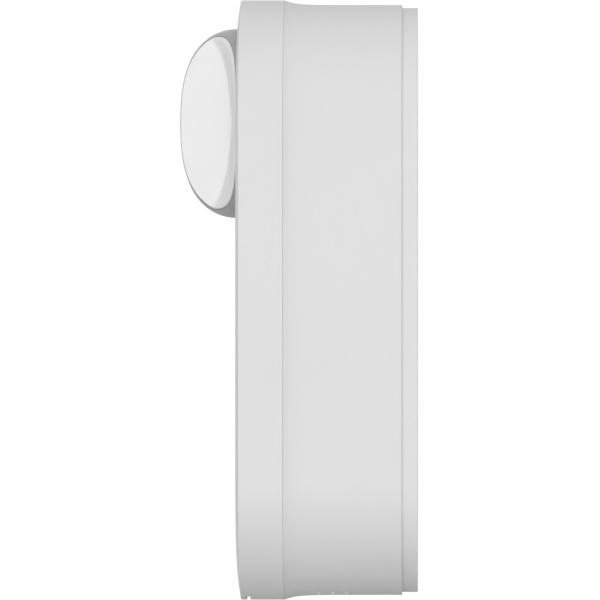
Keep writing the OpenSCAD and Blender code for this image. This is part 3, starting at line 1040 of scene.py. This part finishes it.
def build_floor():
    """A round pale floor with a painted shadow: a little darker right under the object."""
    count = 96
    rings = []
    for r, drop in ((FLOOR_SIZE, FLOOR_DROP + FLOOR_CHAMFER), (FLOOR_SIZE - FLOOR_CHAMFER, FLOOR_DROP)):
        angles = [2 * math.pi * i / count for i in range(count)]
        rings.append([Vector((r * math.cos(a), r * math.sin(a), -drop)) for a in angles])
    floor = loft("floor", rings)
    m = Nodes("pale floor")
    reach = m.add("ShaderNodeVectorMath", operation="LENGTH")
    m.link(m.place, reach.inputs[0])
    # painted shadow: the floor's colour darkens towards the spot under the object
    darker = m.ramp(reach.outputs["Value"], [(0.31, 0.3), (0.44, 0.7)])
    lighter = m.ramp(reach.outputs["Value"], [(0.31, 0.32), (0.44, 0.72)])
    m.link(m.mix(m.noise(3), darker, lighter), m.shader.inputs["Base Color"])
    m.link(m.ramp(m.noise(20), [(0.3, 0.62), (0.7, 0.72)]), m.shader.inputs["Roughness"])
    m.bump(m.noise(240, 4), 0.05)
    floor.data.materials.append(m.material)


def build_world():
    """A studio tent: white all round, dimmer overhead and dim below."""
    world = bpy.data.worlds.new("studio")
    world.use_nodes = True
    tree = world.node_tree
    background = tree.nodes["Background"]
    coords = tree.nodes.new("ShaderNodeTexCoord")
    split = tree.nodes.new("ShaderNodeSeparateXYZ")
    tree.links.new(coords.outputs["Generated"], split.inputs["Vector"])
    height = tree.nodes.new("ShaderNodeMapRange")
    height.inputs["From Min"].default_value = -1
    tree.links.new(split.outputs["Z"], height.inputs["Value"])
    ramp = tree.nodes.new("ShaderNodeValToRGB")
    tree.links.new(height.outputs["Result"], ramp.inputs["Fac"])
    points = ramp.color_ramp.elements
    while len(points) < len(TENT):
        points.new(0.5)
    for point, (position, value) in zip(points, TENT):
        point.position = position
        point.color = (value, value, value, 1)
    squared = tree.nodes.new("ShaderNodeMath")
    squared.operation = "MULTIPLY"
    tree.links.new(split.outputs["Y"], squared.inputs[0])
    tree.links.new(split.outputs["Y"], squared.inputs[1])
    fade = tree.nodes.new("ShaderNodeMapRange")
    fade.inputs["To Min"].default_value = 1.0
    fade.inputs["To Max"].default_value = TENT_SIDES
    tree.links.new(squared.outputs["Value"], fade.inputs["Value"])
    dim = tree.nodes.new("ShaderNodeVectorMath")
    dim.operation = "SCALE"
    tree.links.new(ramp.outputs["Color"], dim.inputs["Vector"])
    tree.links.new(fade.outputs["Result"], dim.inputs["Scale"])
    tree.links.new(dim.outputs["Vector"], background.inputs["Color"])
    background.inputs["Strength"].default_value = TENT_STRENGTH
    scene.world = world


def add_light(name, place, target, size, power):
    """A soft oval light that is not itself seen."""
    data = bpy.data.lights.new(name, "AREA")
    data.shape = "ELLIPSE"
    data.size, data.size_y = size
    data.energy = power
    light = bpy.data.objects.new(name, data)
    light.location = place
    light.visible_camera = False
    light.rotation_mode = "QUATERNION"
    light.rotation_quaternion = (Vector(target) - Vector(place)).to_track_quat("-Z", "Y")
    scene.collection.objects.link(light)


def build_camera():
    """A long lens level with the object's middle, looking at its side."""
    data = bpy.data.cameras.new("camera")
    data.sensor_width = 36
    data.lens = LENS
    data.shift_x = LENS_SHIFT
    data.clip_start = 0.05
    data.clip_end = 20
    data.dof.use_dof = False
    camera = bpy.data.objects.new("camera", data)
    camera.location = (CAMERA_X, CAMERA_Y, (cad_low.z + cad_high.z) / 2)
    camera.rotation_mode = "QUATERNION"
    camera.rotation_quaternion = Vector((-1, 0, 0)).to_track_quat("-Z", "Y")
    scene.collection.objects.link(camera)
    scene.camera = camera


build_floor()
build_world()
add_light("side_softbox", (1.9, -0.38, -0.05), (0, -0.02, 0), (2.0, 0.45), 12.8)
build_camera()
scene.view_settings.view_transform = "Standard"
